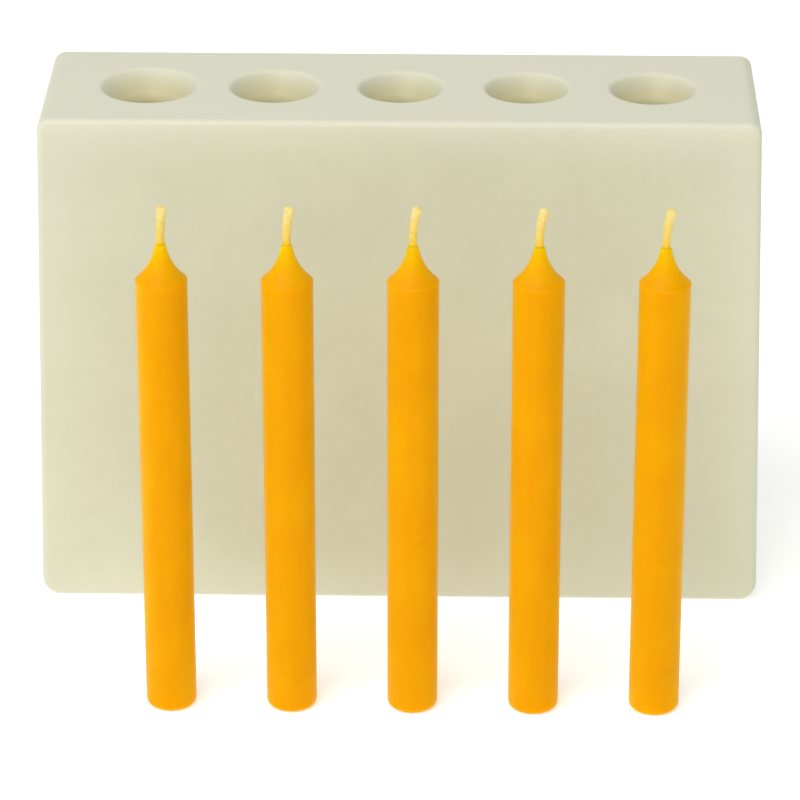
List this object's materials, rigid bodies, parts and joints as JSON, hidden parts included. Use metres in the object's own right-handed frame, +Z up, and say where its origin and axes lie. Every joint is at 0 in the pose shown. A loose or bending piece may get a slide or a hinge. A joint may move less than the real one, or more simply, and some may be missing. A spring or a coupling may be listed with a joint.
{
  "type": "candle mold",
  "caption": "Two-part silicone mold for a row of slim tree candles, keyed along its parting plane, with the finished beeswax candles and their cotton wicks standing before it.",
  "frame": {"origin": "middle of the whole set's footprint, on the surface that the mold and the candles stand on", "axes": "+Z up, towards the pouring mouths and the candles' tips; +X along the row of cavities; the mold stands on the +Y side and the candles on the -Y side, which is the front"},
  "size_m": [0.1838, 0.1122, 0.1318],
  "materials": {
    "silicone": "satin, translucent cream silicone rubber",
    "beeswax": "soft satin golden-yellow beeswax",
    "cotton": "braided cotton soaked in wax"
  },
  "bodies": {
    "mold_back": {"mold_back_half": "silicone"},
    "mold_front": {"mold_front_half": "silicone"},
    "candle_1": {"candle_wax_1": "beeswax", "candle_wick_1": "cotton"},
    "candle_2": {"candle_wax_2": "beeswax", "candle_wick_2": "cotton"},
    "candle_3": {"candle_wax_3": "beeswax", "candle_wick_3": "cotton"},
    "candle_4": {"candle_wax_4": "beeswax", "candle_wick_4": "cotton"},
    "candle_5": {"candle_wax_5": "beeswax", "candle_wick_5": "cotton"}
  },
  "joints": [
    {"name": "mold_opening", "type": "slide", "parent": "mold_back", "child": "mold_front", "axis": [0, -1, 0], "range_m": [0, 0.038]},
    {"name": "candle_1_lift", "type": "slide", "parent": "mold_back", "child": "candle_1", "axis": [0, 0, 1], "range_m": [0, 0.15]},
    {"name": "candle_2_lift", "type": "slide", "parent": "mold_back", "child": "candle_2", "axis": [0, 0, 1], "range_m": [0, 0.15]},
    {"name": "candle_3_lift", "type": "slide", "parent": "mold_back", "child": "candle_3", "axis": [0, 0, 1], "range_m": [0, 0.15]},
    {"name": "candle_4_lift", "type": "slide", "parent": "mold_back", "child": "candle_4", "axis": [0, 0, 1], "range_m": [0, 0.15]},
    {"name": "candle_5_lift", "type": "slide", "parent": "mold_back", "child": "candle_5", "axis": [0, 0, 1], "range_m": [0, 0.15]}
  ]
}
